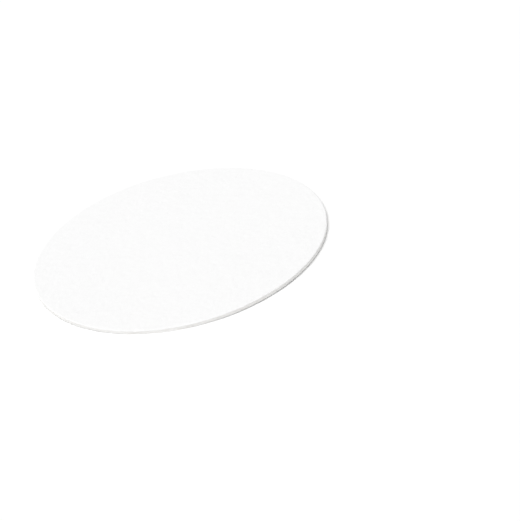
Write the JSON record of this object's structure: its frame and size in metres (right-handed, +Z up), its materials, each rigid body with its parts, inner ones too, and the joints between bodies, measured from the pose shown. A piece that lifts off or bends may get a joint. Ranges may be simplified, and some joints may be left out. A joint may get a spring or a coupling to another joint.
{
  "type": "filter paper disc",
  "caption": "Flat round disc of thick white filter paper with two plain faces and a punched rim that is softly rolled on its upper side.",
  "frame": {"origin": "centre of the lower face, on the disc's axis", "axes": "+Z up through the disc's thickness, from the lower (wire) side to the upper (felt) side; X and Y lie in the disc and are free, because it is round"},
  "size_m": [0.07, 0.07, 0.0009],
  "materials": {
    "bleached_cellulose": "matte"
  },
  "bodies": {
    "root": {"filter_disc": "bleached_cellulose"}
  },
  "joints": []
}
